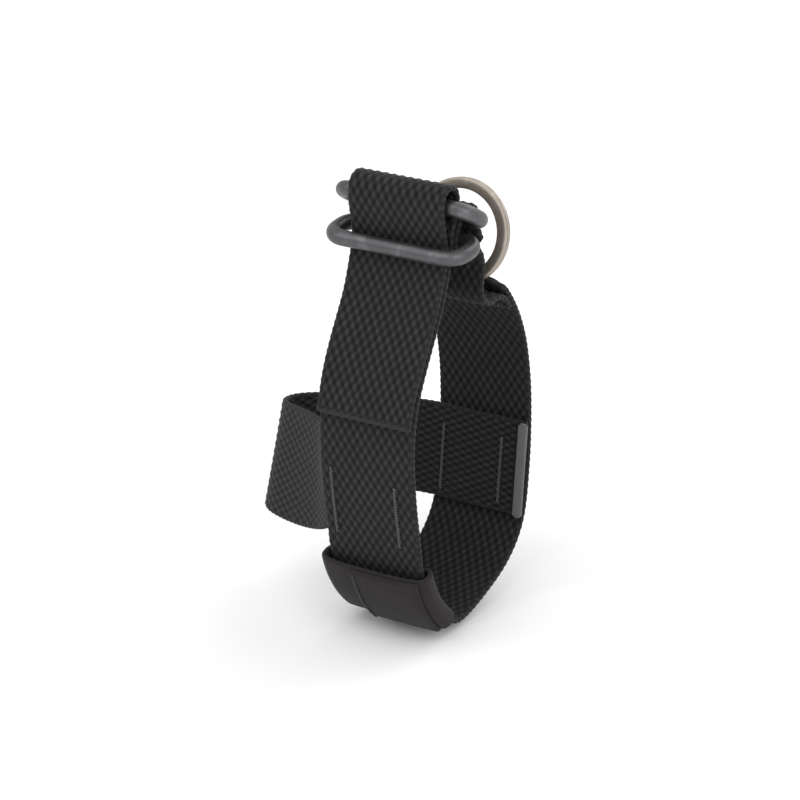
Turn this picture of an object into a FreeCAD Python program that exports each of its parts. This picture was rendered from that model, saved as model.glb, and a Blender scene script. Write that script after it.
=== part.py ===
"""Webbing wrist strap with a double-ring cinch buckle, cross loop, keeper and split ring.

Frame, in millimetres: the origin is the centre of the wrist loop.  +X runs along the loop's axis,
which is the webbing's width, +Y points from the front leg to the rear leg, and +Z points up towards
the buckle.  Strap profiles are lists of (y, z) points of the webbing's middle line.
"""
import FreeCAD, Part
import math
import os

Vec = FreeCAD.Vector
X_AXIS = Vec(1, 0, 0)

# Webbing
WEB_WIDTH = 25.0
WEB_THICKNESS = 1.5
HALF_WIDTH = WEB_WIDTH / 2
HALF_THICKNESS = WEB_THICKNESS / 2
LAYER_GAP = 0.05

# Buckle rings: two equal wire rings, both pivoting in the sewn fold
RING_WIRE_R = 1.8
RING_LENGTH = 33.0
RING_DEPTH = 9.7
RING_CORNER_R = 4.0
LOWER_RING_PIVOT = (-3.5, 41.0)
LOWER_RING_X = -0.55
LOWER_RING_TILT = 6.3
UPPER_RING_PIVOT = (-0.4, 45.0)
UPPER_RING_X = -0.65
UPPER_RING_TILT = -30.3

# Roll of webbing over the upper ring's front bar
ROLL_CENTRE = (-8.7, 51.2)
ROLL_RADIUS = 3.1

# Split ring, its lowest point lying in the pocket of the fold
SPLIT_RING_MID_R = 10.7
SPLIT_RING_RADIAL = 2.6
SPLIT_RING_COIL = 1.25
SPLIT_RING_GROOVE = 0.12
SPLIT_RING_X = 3.0
SPLIT_RING_PIVOT = (8.4, 27.2)
SPLIT_RING_LEAN = 12.0
NECK_HALF_WIDTH = 3.5
NECK_Z = (26.2, 38.4)

# The front corner of the loop is a true arc, so that the keeper can travel along it
CORNER_CENTRE = (8.0, -24.0)
CORNER_RADIUS = 29.3
CORNER_ANGLES = (184.0, 238.0)

# Elastic keeper, a flat tube bent along that arc
KEEPER_ANGLES = (196.0, 231.0)
KEEPER_WALL = 1.1
KEEPER_SIDE_GAP = 0.5
KEEPER_INNER_GAP = 0.4
KEEPER_OUTER_GAP = 1.0
KEEPER_CORNER_R = 1.2
KEEPER_LAP_X = (-5.0, 12.6)
KEEPER_LAP_THICKNESS = 1.0

# Free tail of the strap, outside the front leg
TAIL_GAP = 0.3
TAIL_TIP_LENGTH = 1.6

# Cross band, a second piece of webbing that makes a loop to the side; its free edges are (x, y, z)
BAND_REAR_Z = (-34.0, -11.4)
BAND_FRONT_Z = (-26.0, -3.6)
BAND_FREE_SIDE_LOW = [(-20.0, 20.8, -34.0), (-31.0, 15.8, -34.3), (-40.2, 9.6, -34.8), (-44.2, 3.8, -35.2),
                      (-43.0, -1.2, -35.4), (-36.5, -5.6, -35.2), (-27.0, -9.8, -33.8),
                      (-20.0, -13.6, -31.4), (-15.6, -16.8, -28.8)]
BAND_FREE_SIDE_HIGH = [(-19.0, 23.4, -11.4), (-29.0, 18.4, -11.0), (-37.5, 13.3, -10.6), (-41.2, 8.4, -10.2),
                       (-40.3, 3.2, -9.4), (-34.0, -1.8, -8.0), (-25.5, -7.2, -6.4), (-19.3, -12.3, -5.2),
                       (-15.6, -17.6, -4.2)]
BAND_END_X = 8.8
BAND_GAP = 0.3
TAB_THICKNESS = 0.9
TAB_X = (10.8, 13.2)

# Sewing thread
THREAD_R = 0.32
STITCH_LENGTH = 1.7
STITCH_PITCH = 2.3

FLAP = [(16.9, 19.45), (15.2, 21.8), (11.9, 23.0), (7.4, 23.1), (5.1, 25.4), (4.8, 29.0), (5.2, 33.0),
        (3.9, 36.3), (1.2, 37.7), (-1.8, 38.0), (-4.7, 38.35)]
FOLD = [(-6.4, 40.7), (-5.9, 43.2), (-4.4, 45.9), (-2.4, 47.6), (0.0, 47.95), (2.1, 46.6), (2.75, 44.2),
        (3.5, 41.2), (5.3, 38.0), (7.6, 34.8), (10.0, 30.9), (11.8, 28.5)]
REAR_LEG = [(13.9, 25.7), (16.7, 22.4), (19.6, 18.4), (22.2, 13.6), (24.1, 8.6), (25.3, 3.6), (26.2, -2.0),
            (26.6, -9.0), (26.5, -18.0), (25.6, -27.0), (23.7, -35.2), (21.2, -39.3), (17.4, -42.8),
            (12.6, -45.5), (8.2, -47.2), (3.9, -48.6), (-0.6, -49.7), (-4.3, -50.0)]
FRONT_LEG_LOW = [(-22.6, -18.0), (-23.6, -10.0), (-24.0, -3.0)]
FRONT_LEG_HIGH = [(-23.4, 4.0), (-21.5, 10.5), (-18.7, 16.2), (-15.3, 22.3), (-12.3, 28.0), (-10.0, 34.0),
                  (-8.5, 39.5), (-8.2, 42.3), (-7.5, 45.3), (-6.1, 48.4)]
ROLL_DOWN = [(-11.75, 48.3), (-11.1, 45.0), (-10.55, 42.2), (-10.2, 39.3)]


def circle_points(centre, radius, start, end, count):
    """Points of an arc in the (y, z) plane, from one angle to the other in degrees."""
    angles = [math.radians(start + (end - start) * i / (count - 1)) for i in range(count)]
    return [(centre[0] + radius * math.cos(a), centre[1] + radius * math.sin(a)) for a in angles]


def yz(x, point):
    """A 3-D point from an x and a (y, z) pair."""
    return Vec(x, point[0], point[1])


def spline(points):
    """A smooth curve through 3-D points."""
    curve = Part.BSplineCurve()
    curve.interpolate(points)
    return curve


def beside(points, distance, per_point=6):
    """Points of the curve through (y, z) points, moved to the left of its direction."""
    curve = spline([yz(0, p) for p in points])
    count = per_point * len(points)
    moved = []
    for i in range(count + 1):
        at = curve.FirstParameter + (curve.LastParameter - curve.FirstParameter) * i / count
        here, along = curve.value(at), curve.tangent(at)[0]
        moved.append((here.y - along.z * distance, here.z + along.y * distance))
    return moved


def ribbon(points, x_low, x_high, thickness=WEB_THICKNESS):
    """A strip of webbing: the curve through the points, thickened and extruded along X."""
    left = [yz(x_low, p) for p in beside(points, thickness / 2)]
    right = [yz(x_low, p) for p in beside(points, -thickness / 2)]
    outline = Part.Wire([spline(left).toShape(), Part.makeLine(left[-1], right[-1]),
                         spline(right[::-1]).toShape(), Part.makeLine(right[0], left[0])])
    return Part.Face(outline).extrude(Vec(x_high - x_low, 0, 0))


def polar(angle, radius):
    """A (y, z) point around the corner's centre."""
    a = math.radians(angle)
    return (CORNER_CENTRE[0] + radius * math.cos(a), CORNER_CENTRE[1] + radius * math.sin(a))


def corner_arc():
    """The front corner of the loop, from the bottom up."""
    return circle_points(CORNER_CENTRE, CORNER_RADIUS, CORNER_ANGLES[1], CORNER_ANGLES[0], 9)


def roll_arc():
    """The roll over the upper bar, from the leg over the top to the front."""
    return circle_points(ROLL_CENTRE, ROLL_RADIUS, 0, 180, 9)


def strap_line():
    """The whole middle line of the main strap, from the flap's end to behind the lower bar."""
    return FLAP + FOLD + REAR_LEG + corner_arc() + FRONT_LEG_LOW + FRONT_LEG_HIGH + roll_arc() + ROLL_DOWN


def main_strap():
    """One length of webbing, gathered to a neck where it passes through the split ring."""
    strap = ribbon(strap_line(), -HALF_WIDTH, HALF_WIDTH)
    depth = 8.0
    for side in (-1, 1):
        inner = SPLIT_RING_X + side * NECK_HALF_WIDTH
        outer = side * (HALF_WIDTH + 1)
        cutter = Part.makeBox(abs(outer - inner), depth, NECK_Z[1] - NECK_Z[0],
                              Vec(min(inner, outer), 6.9, NECK_Z[0]))
        strap = strap.cut(cutter)
    return strap


def tail_line():
    """The tail's middle line: the front leg's, moved outwards."""
    leg = FRONT_LEG_HIGH[::-1]
    return [p for p in beside(leg, -(WEB_THICKNESS + TAIL_GAP), 2) if p[1] < 37.7]


def strap_tail():
    """The free end of the main strap."""
    return ribbon(tail_line(), -HALF_WIDTH, HALF_WIDTH)


def tail_tip():
    """The heat-sealed edge that keeps the cut end from fraying."""
    before, end = tail_line()[-2:]
    length = math.dist(before, end)
    along = ((end[0] - before[0]) / length, (end[1] - before[1]) / length)
    start = (end[0] + along[0] * LAYER_GAP, end[1] + along[1] * LAYER_GAP)
    stop = (start[0] + along[0] * TAIL_TIP_LENGTH, start[1] + along[1] * TAIL_TIP_LENGTH)
    middle = ((start[0] + stop[0]) / 2, (start[1] + stop[1]) / 2)
    return ribbon([start, middle, stop], -HALF_WIDTH, HALF_WIDTH, WEB_THICKNESS * 0.85)


def leg_y(points, z):
    """The y of a leg's middle line at a height, between the two nearest points."""
    ordered = sorted(points, key=lambda p: p[1])
    for low, high in zip(ordered, ordered[1:]):
        if low[1] <= z <= high[1]:
            return low[0] + (high[0] - low[0]) * (z - low[1]) / (high[1] - low[1])
    raise ValueError("height outside the leg")


def band_edge(rear_z, front_z, free_side):
    """One long edge of the cross band: flat on the rear leg, round the side, flat on the front leg."""
    inward = WEB_THICKNESS + BAND_GAP
    rear_y = leg_y(REAR_LEG[:11], rear_z) - inward
    front_y = leg_y(corner_arc()[-2:] + FRONT_LEG_LOW, front_z) + inward
    rear = [(x, rear_y, rear_z) for x in (HALF_WIDTH, 4.0, -4.0, -11.5)]
    front = [(x, front_y, front_z) for x in (-10.5, -4.0, 3.0, BAND_END_X)]
    return [Vec(*point) for point in rear + free_side + front]


def band_side(points, distance):
    """A long edge moved sideways in plan, as a smooth curve."""
    curve = spline(points)
    count = 5 * len(points)
    moved = []
    for i in range(count + 1):
        at = curve.FirstParameter + (curve.LastParameter - curve.FirstParameter) * i / count
        here, along = curve.value(at), curve.tangent(at)[0]
        flat = math.hypot(along.x, along.y)
        moved.append(Vec(here.x - along.y / flat * distance, here.y + along.x / flat * distance, here.z))
    return spline(moved).toShape()


def cross_band():
    """The second piece of webbing, a ruled sheet between its two long edges, thickened."""
    low = band_edge(BAND_REAR_Z[0], BAND_FRONT_Z[0], BAND_FREE_SIDE_LOW)
    high = band_edge(BAND_REAR_Z[1], BAND_FRONT_Z[1], BAND_FREE_SIDE_HIGH)
    edges = [band_side(low, HALF_THICKNESS), band_side(high, HALF_THICKNESS),
             band_side(high, -HALF_THICKNESS), band_side(low, -HALF_THICKNESS)]
    faces = [Part.makeRuledSurface(a, b) for a, b in zip(edges, edges[1:] + edges[:1])]
    for end in (0, -1):
        corners = [edge.Vertexes[end].Point for edge in edges]
        faces.append(Part.Face(Part.makePolygon(corners + corners[:1])))
    shell = Part.makeShell(faces)
    shell.sewShape()
    return Part.makeSolid(shell)


def rear_chord(x, share, lift):
    """A point above the band's flat inner face on the rear leg, at a share of its height."""
    low, high = [yz(x, (leg_y(REAR_LEG[:11], z) - WEB_THICKNESS - BAND_GAP, z)) for z in BAND_REAR_Z]
    return low + (high - low) * share - Vec(0, HALF_THICKNESS + lift, 0)


def edge_tab():
    """The smooth hem that covers the cut end of the band on the rear leg."""
    face, top = LAYER_GAP, LAYER_GAP + TAB_THICKNESS
    outline = ((0, face), (1, face), (1, top), (0, top))
    corners = [rear_chord(TAB_X[0], share, lift) for share, lift in outline]
    plate = Part.Face(Part.makePolygon(corners + corners[:1])).extrude(X_AXIS * (TAB_X[1] - TAB_X[0]))
    return plate.makeFillet(0.3, plate.Edges)


def wire_ring(x, pivot, tilt):
    """A rounded rectangle of wire: its rear bar on the pivot, its front bar at the given tilt."""
    half, corner = RING_LENGTH / 2, RING_CORNER_R
    straight, side = half - corner, RING_DEPTH - 2 * corner
    quarter = math.sqrt(0.5) * corner
    edges = []
    for sign in (1, -1):
        centres = [Vec(sign * straight, sign * side / 2, 0), Vec(-sign * straight, sign * side / 2, 0)]
        edges.append(Part.makeLine(centres[0] + Vec(sign * corner, -sign * side, 0),
                                   centres[0] + Vec(sign * corner, 0, 0)))
        edges.append(Part.Arc(centres[0] + Vec(sign * corner, 0, 0),
                              centres[0] + Vec(sign * quarter, sign * quarter, 0),
                              centres[0] + Vec(0, sign * corner, 0)).toShape())
        edges.append(Part.makeLine(centres[0] + Vec(0, sign * corner, 0),
                                   centres[1] + Vec(0, sign * corner, 0)))
        edges.append(Part.Arc(centres[1] + Vec(0, sign * corner, 0),
                              centres[1] + Vec(-sign * quarter, sign * quarter, 0),
                              centres[1] + Vec(-sign * corner, 0, 0)).toShape())
    path = Part.Wire(edges)
    start = path.Edges[0].Vertexes[0].Point
    section = Part.Wire(Part.makeCircle(RING_WIRE_R, start, Vec(0, 1, 0)))
    ring = path.makePipeShell([section], True, False)
    ring.translate(Vec(x, -RING_DEPTH / 2, 0))
    ring.rotate(Vec(0, 0, 0), X_AXIS, tilt)
    ring.translate(yz(0, pivot))
    return ring


def split_ring():
    """Two flat coils side by side, with the groove between them, leaning back from the pocket."""
    inner = SPLIT_RING_MID_R - SPLIT_RING_RADIAL / 2
    outer = SPLIT_RING_MID_R + SPLIT_RING_RADIAL / 2
    width, chamfer = SPLIT_RING_COIL, 0.35
    groove = SPLIT_RING_GROOVE
    outline = [(inner + chamfer, -width), (outer - chamfer, -width), (outer, chamfer - width),
               (outer, -groove), (outer - 3 * groove, 0), (outer, groove), (outer, width - chamfer),
               (outer - chamfer, width), (inner + chamfer, width), (inner, width - chamfer),
               (inner, groove), (inner + 3 * groove, 0), (inner, -groove), (inner, chamfer - width)]
    points = [Vec(radius, along, 0) for radius, along in outline]
    section = Part.Face(Part.makePolygon(points + points[:1]))
    ring = section.revolve(Vec(0, 0, 0), Vec(0, 1, 0), 360)
    ring.translate(Vec(SPLIT_RING_X, 0, SPLIT_RING_MID_R))
    ring.rotate(Vec(0, 0, 0), X_AXIS, -SPLIT_RING_LEAN)
    ring.translate(yz(0, SPLIT_RING_PIVOT))
    return ring


def rounded_rectangle(x_low, x_high, r_low, r_high, corner):
    """A flat rounded rectangle in the (x, radius) plane at angle zero of the corner's arc."""
    box = Part.makeBox(x_high - x_low, 1.0, r_high - r_low, Vec(x_low, 0, r_low))
    along_y = [e for e in box.Edges if abs(e.tangentAt(e.FirstParameter).y) > 0.9]
    rounded = box.makeFillet(corner, along_y)
    return next(f for f in rounded.Faces if abs(f.CenterOfMass.y) < 1e-6)


def swept_about_corner(face, start, end):
    """A flat shape of the (x, radius) plane, revolved about the corner's centre."""
    centre = yz(0, CORNER_CENTRE)
    shape = face.copy()
    shape.rotate(Vec(0, 0, 0), X_AXIS, start - 90)
    shape.translate(centre)
    return shape.revolve(centre, X_AXIS, end - start)


def keeper_sizes():
    """The keeper's cavity: half width, inner radius and outer radius."""
    return (HALF_WIDTH + KEEPER_SIDE_GAP, CORNER_RADIUS - HALF_THICKNESS - KEEPER_INNER_GAP,
            CORNER_RADIUS + HALF_THICKNESS + KEEPER_OUTER_GAP)


def keeper_band():
    """The elastic loop round the strap's corner."""
    half, inner, outer = keeper_sizes()
    wall = KEEPER_WALL
    tube = swept_about_corner(rounded_rectangle(-half - wall, half + wall, inner - wall, outer + wall,
                                                KEEPER_CORNER_R + 0.4), *KEEPER_ANGLES)
    cavity = swept_about_corner(rounded_rectangle(-half, half, inner, outer, KEEPER_CORNER_R / 2),
                                KEEPER_ANGLES[0] - 2, KEEPER_ANGLES[1] + 2)
    return tube.cut(cavity)


def keeper_overlap():
    """The end of the elastic that laps over the other end, on the outside."""
    low = keeper_sizes()[2] + KEEPER_WALL + LAYER_GAP
    face = rounded_rectangle(*KEEPER_LAP_X, low, low + KEEPER_LAP_THICKNESS, 0.3)
    return swept_about_corner(face, KEEPER_ANGLES[0] + 0.4, KEEPER_ANGLES[1] - 1.4)


def stitch(start, end):
    """One stitch of thread: a straight length with round ends."""
    along = end - start
    thread = Part.makeCylinder(THREAD_R, along.Length, start, along)
    return thread.fuse([Part.makeSphere(THREAD_R, start), Part.makeSphere(THREAD_R, end)])


def stitches(points):
    """A row of separate stitches along a straight or bent line of 3-D points."""
    line = spline(points)
    count = int(line.length() // STITCH_PITCH)
    row = []
    for i in range(count):
        start = line.parameterAtDistance(i * STITCH_PITCH, line.FirstParameter)
        end = line.parameterAtDistance(i * STITCH_PITCH + STITCH_LENGTH, line.FirstParameter)
        row.append(stitch(line.value(start), line.value(end)))
    return Part.makeCompound(row)


def front_stitches(x):
    """A row on the outside of the front leg, where the cross band is sewn on."""
    leg = corner_arc()[-2:] + FRONT_LEG_LOW
    lift = HALF_THICKNESS + THREAD_R + 2 * LAYER_GAP
    return stitches([yz(x, (leg_y(leg, z) - lift, z)) for z in (-26.0, -22.0, -18.0, -14.0, -9.0)])


def rear_stitches(x):
    """A row on the inside of the rear leg, standing on the flat of the cross band."""
    return stitches([rear_chord(x, share, THREAD_R + LAYER_GAP) for share in (0.12, 0.33, 0.54, 0.8)])


def flap_seam():
    """The seam across the inner flap, near its end."""
    (y0, z0), (y1, z1) = FLAP[0], FLAP[1]
    length = math.dist(FLAP[0], FLAP[1])
    inward = (-(z1 - z0) / length, (y1 - y0) / length)
    lift = HALF_THICKNESS + THREAD_R + LAYER_GAP
    at = ((y0 + y1) / 2 + inward[0] * lift, (z0 + z1) / 2 + inward[1] * lift)
    xs = [-11.2 + 22.4 * i / 4 for i in range(5)]
    return stitches([yz(x, at) for x in xs])


def keeper_stitches():
    """The seam down the edge of the keeper's overlap."""
    radius = keeper_sizes()[2] + KEEPER_WALL + KEEPER_LAP_THICKNESS + 2 * LAYER_GAP + THREAD_R
    angles = [KEEPER_ANGLES[0] + 2.5 + (KEEPER_ANGLES[1] - KEEPER_ANGLES[0] - 6) * i / 5 for i in range(6)]
    return stitches([yz(KEEPER_LAP_X[0] + 1.2, polar(a, radius)) for a in angles])


def build():
    """Every node of the part, by name."""
    return {
        "main_strap": main_strap(),
        "strap_tail": strap_tail(),
        "tail_tip": tail_tip(),
        "cross_band": cross_band(),
        "edge_tab": edge_tab(),
        "lower_ring": wire_ring(LOWER_RING_X, LOWER_RING_PIVOT, LOWER_RING_TILT),
        "upper_ring": wire_ring(UPPER_RING_X, UPPER_RING_PIVOT, UPPER_RING_TILT),
        "split_ring": split_ring(),
        "keeper_band": keeper_band(),
        "keeper_overlap": keeper_overlap(),
        "keeper_stitches": keeper_stitches(),
        "front_stitches_left": front_stitches(-9.3),
        "front_stitches_right": front_stitches(7.2),
        "rear_stitches_left": rear_stitches(-9.4),
        "rear_stitches_right": rear_stitches(6.3),
        "flap_seam": flap_seam(),
    }


def main():
    """Write one STEP file for each node."""
    os.makedirs("parts", exist_ok=True)
    for name, shape in build().items():
        box = shape.BoundBox
        print(f"{name:22s} {shape.ShapeType:9s} solids {len(shape.Solids)} valid {shape.isValid()} "
              f"volume {shape.Volume:9.2f}  x {box.XMin:.1f}..{box.XMax:.1f}  "
              f"y {box.YMin:.1f}..{box.YMax:.1f}  z {box.ZMin:.1f}..{box.ZMax:.1f}")
        shape.exportStep(f"parts/{name}.step")


main()
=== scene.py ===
"""Looks of a webbing wrist strap: woven straps, wire rings, elastic keeper and sewing.

Lengths in this file are millimetres, except in the studio; the frame itself is in metres.
X is the webbing's width, Y runs from the front leg to the rear leg and Z runs up to the buckle.
"""
import logging
import math
from dataclasses import dataclass
from enum import Enum

import bpy
import numpy as np
from mathutils import Matrix, Vector


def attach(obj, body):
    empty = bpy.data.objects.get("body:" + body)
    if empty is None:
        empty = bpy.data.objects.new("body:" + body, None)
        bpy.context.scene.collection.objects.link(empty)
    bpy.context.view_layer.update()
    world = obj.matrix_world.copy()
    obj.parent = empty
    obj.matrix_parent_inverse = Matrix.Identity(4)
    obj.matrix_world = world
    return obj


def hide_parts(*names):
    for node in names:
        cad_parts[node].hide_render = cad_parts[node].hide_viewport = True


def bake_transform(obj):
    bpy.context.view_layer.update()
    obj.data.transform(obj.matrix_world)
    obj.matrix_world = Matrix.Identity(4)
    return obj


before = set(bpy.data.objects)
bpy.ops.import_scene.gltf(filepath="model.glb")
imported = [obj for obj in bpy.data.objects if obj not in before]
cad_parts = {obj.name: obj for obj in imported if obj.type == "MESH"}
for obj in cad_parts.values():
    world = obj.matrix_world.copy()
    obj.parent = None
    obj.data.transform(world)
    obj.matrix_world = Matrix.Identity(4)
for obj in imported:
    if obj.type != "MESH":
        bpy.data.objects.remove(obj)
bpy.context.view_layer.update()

Array = np.ndarray
Material = bpy.types.Material
Pair = tuple[float, float]
Piece = bpy.types.Object
MM = 0.001
HALF_WEB = 12.2
DARK_SLOT = "dark_thread"
LOG = logging.getLogger("wrist_strap")


# ---------------------------------------------------------------- lines and meshes

def smooth_line(points: list[tuple[float, ...]], step: float) -> Array:
    """Sample the smooth curve through some points, evenly along its length.

    Args:
        points: the points, two or three numbers each, in millimetres.
        step: the distance between samples, in millimetres.

    Returns:
        An array with one row for each sample.
    """
    knots = np.array(points, float)
    spans = np.linalg.norm(np.diff(knots, axis=0), axis=1)
    at = np.concatenate([[0.0], np.cumsum(spans)])
    count = len(knots)
    system = np.zeros((count, count))
    right = np.zeros_like(knots)
    system[0, 0] = system[-1, -1] = 1.0
    for i in range(1, count - 1):
        system[i, i - 1:i + 2] = (spans[i - 1], 2 * (spans[i - 1] + spans[i]), spans[i])
        right[i] = 6 * ((knots[i + 1] - knots[i]) / spans[i] - (knots[i] - knots[i - 1]) / spans[i - 1])
    bend = np.linalg.solve(system, right)

    def value(t: Array) -> Array:
        """The cubic's value at distances along the chords."""
        i = np.clip(np.searchsorted(at, t, side="right") - 1, 0, count - 2)
        h, a, b = spans[i][:, None], (at[i + 1] - t)[:, None], (t - at[i])[:, None]
        return (bend[i] * a**3 / (6 * h) + bend[i + 1] * b**3 / (6 * h)
                + (knots[i] / h - bend[i] * h / 6) * a + (knots[i + 1] / h - bend[i + 1] * h / 6) * b)

    fine = value(np.linspace(0, at[-1], 40 * count))
    along = np.concatenate([[0.0], np.cumsum(np.linalg.norm(np.diff(fine, axis=0), axis=1))])
    stops = np.linspace(0, along[-1], max(2, int(round(along[-1] / step)) + 1))
    return np.stack([np.interp(stops, along, fine[:, k]) for k in range(fine.shape[1])], axis=1)


def eased(values: list[Pair], at: Array) -> Array:
    """Smooth values between named stops.

    Args:
        values: pairs of a place and the value there, in rising order of place.
        at: the places wanted.

    Returns:
        The value at each place, eased between the stops and flat past the ends.
    """
    places, levels = np.array(values, float).T
    i = np.clip(np.searchsorted(places, at, side="right") - 1, 0, len(places) - 2)
    t = np.clip((at - places[i]) / (places[i + 1] - places[i]), 0, 1)
    return levels[i] + (levels[i + 1] - levels[i]) * t * t * (3 - 2 * t)


def unit(vectors: Array) -> Array:
    """Scale the vectors in the last axis to length one."""
    return vectors / np.maximum(np.linalg.norm(vectors, axis=-1, keepdims=True), 1e-12)


def loop_faces(rings: int, around: int) -> list[tuple[int, ...]]:
    """Faces of a tube of rings of points, closed at both ends.

    Args:
        rings: how many rings there are.
        around: how many points each ring has.

    Returns:
        The faces, as tuples of point numbers.
    """
    faces = []
    for a in range(0, (rings - 1) * around, around):
        b = a + around
        faces += [(a + j, b + j, b + (j + 1) % around, a + (j + 1) % around) for j in range(around)]
    faces.append(tuple(range(around)))
    faces.append(tuple((rings - 1) * around + j for j in reversed(range(around))))
    return faces


def mesh_object(name: str, points: Array, faces: list[tuple[int, ...]], material: Material,
                weave: Array | None = None) -> Piece:
    """Make a smooth-shaded object from points in millimetres.

    Args:
        name: the object's name.
        points: an array of points, in millimetres.
        faces: the faces, as tuples of point numbers.
        material: the finish.
        weave: for cloth, each point's place across and along the cloth and its relief, which also darkens the
            colour in low places as painted shade.

    Returns:
        The new object, linked to the scene.
    """
    mesh = bpy.data.meshes.new(name)
    mesh.from_pydata((points.reshape(-1, 3) * MM).tolist(), [], faces)
    mesh.polygons.foreach_set("use_smooth", [True] * len(mesh.polygons))
    if weave is not None:
        layer = mesh.attributes.new("weave", "FLOAT_VECTOR", "POINT")
        layer.data.foreach_set("vector", weave.reshape(-1).astype(np.float32))
    mesh.materials.append(material)
    mesh.validate()
    mesh.update()
    obj = bpy.data.objects.new(name, mesh)
    bpy.context.scene.collection.objects.link(obj)
    return obj


def sweep(name: str, path: Array, section: Array, up: Array, material: Material,
          scale: Array, relief: Array | None = None) -> Piece:
    """Sweep a closed section along a path.

    Args:
        name: the object's name.
        path: the path's points, in millimetres.
        section: the section's points, as (sideways, up) pairs in millimetres.
        up: a direction for each path point, or one for all, that the section's second axis follows.
        material: the finish.
        scale: a factor on the section at each path point.
        relief: for cloth, the relief from 0 to 1 at each path point, which only sets the painted shade in the
            colour, not the shape.

    Returns:
        The new object.
    """
    along = unit(np.gradient(path, axis=0))
    side = unit(np.cross(along, np.broadcast_to(up, path.shape)))
    lift = unit(np.cross(side, along))
    points = (path[:, None] + scale[:, None, None] * (section[None, :, :1] * side[:, None]
                                                      + section[None, :, 1:] * lift[:, None]))
    at = np.concatenate([[0.0], np.cumsum(np.linalg.norm(np.diff(path, axis=0), axis=1))])
    level = np.full(len(path), 0.8) if relief is None else relief
    weave = np.stack(np.broadcast_arrays(section[None, :, 0], at[:, None], level[:, None]), axis=-1)
    return mesh_object(name, points, loop_faces(*points.shape[:2]), material, weave)


def superellipse(width: float, height: float, power: float, count: int) -> Array:
    """The outline of a rounded oblong, as pairs of numbers."""
    a = np.linspace(0, 2 * np.pi, count, endpoint=False)
    bend = 2 / power
    x = np.sign(np.cos(a)) * np.abs(np.cos(a)) ** bend * width / 2
    y = np.sign(np.sin(a)) * np.abs(np.sin(a)) ** bend * height / 2
    return np.stack([x, y], axis=1)


# ---------------------------------------------------------------- finishes

class Nodes:
    """A short hand for building a node tree."""

    def __init__(self, tree: bpy.types.NodeTree) -> None:
        """Keep the tree that nodes are added to."""
        self.tree = tree

    def add(self, kind: str, settings: dict | None = None, **inputs: object) -> bpy.types.Node:
        """Add a node.

        Args:
            kind: the node's type, without the leading ShaderNode.
            settings: properties of the node itself.
            **inputs: values or sockets for its inputs, with _ for a space in the name.

        Returns:
            The new node.
        """
        node = self.tree.nodes.new(kind if kind.startswith("Node") else "ShaderNode" + kind)
        for key, value in (settings or {}).items():
            setattr(node, key, value)
        for key, value in inputs.items():
            self.put(node, key.replace("_", " "), value)
        return node

    def put(self, node: bpy.types.Node, key: str | int, value: object) -> None:
        """Give an input a value, or link a socket to it."""
        socket = node.inputs[key]
        if isinstance(value, bpy.types.NodeSocket):
            self.tree.links.new(value, socket)
        else:
            socket.default_value = value

    def maths(self, operation: str, *values: object) -> bpy.types.NodeSocket:
        """Add a Math node and return its output."""
        node = self.add("Math", {"operation": operation})
        for i, value in enumerate(values):
            self.put(node, i, value)
        return node.outputs[0]

    def mixed(self, share: object, low: object, high: object) -> bpy.types.NodeSocket:
        """Mix two colours and return the result."""
        node = self.add("Mix", {"data_type": "RGBA"})
        self.put(node, 0, share)
        self.put(node, 6, low)
        self.put(node, 7, high)
        return node.outputs[2]


def new_group(name: str, inputs: list[tuple[str, str, object]], outputs: list[tuple[str, str]]) -> tuple:
    """Make an empty shader node group with sockets.

    Args:
        name: the group's name.
        inputs: each input's name, kind and default.
        outputs: each output's name and kind.

    Returns:
        The group, its Nodes helper, its input node and its output node.
    """
    group = bpy.data.node_groups.new(name, "ShaderNodeTree")
    for label, kind, default in inputs:
        socket = group.interface.new_socket(name=label, in_out="INPUT", socket_type="NodeSocket" + kind)
        socket.default_value = default
    for label, kind in outputs:
        group.interface.new_socket(name=label, in_out="OUTPUT", socket_type="NodeSocket" + kind)
    nodes = Nodes(group)
    return group, nodes, nodes.add("NodeGroupInput"), nodes.add("NodeGroupOutput")


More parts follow.
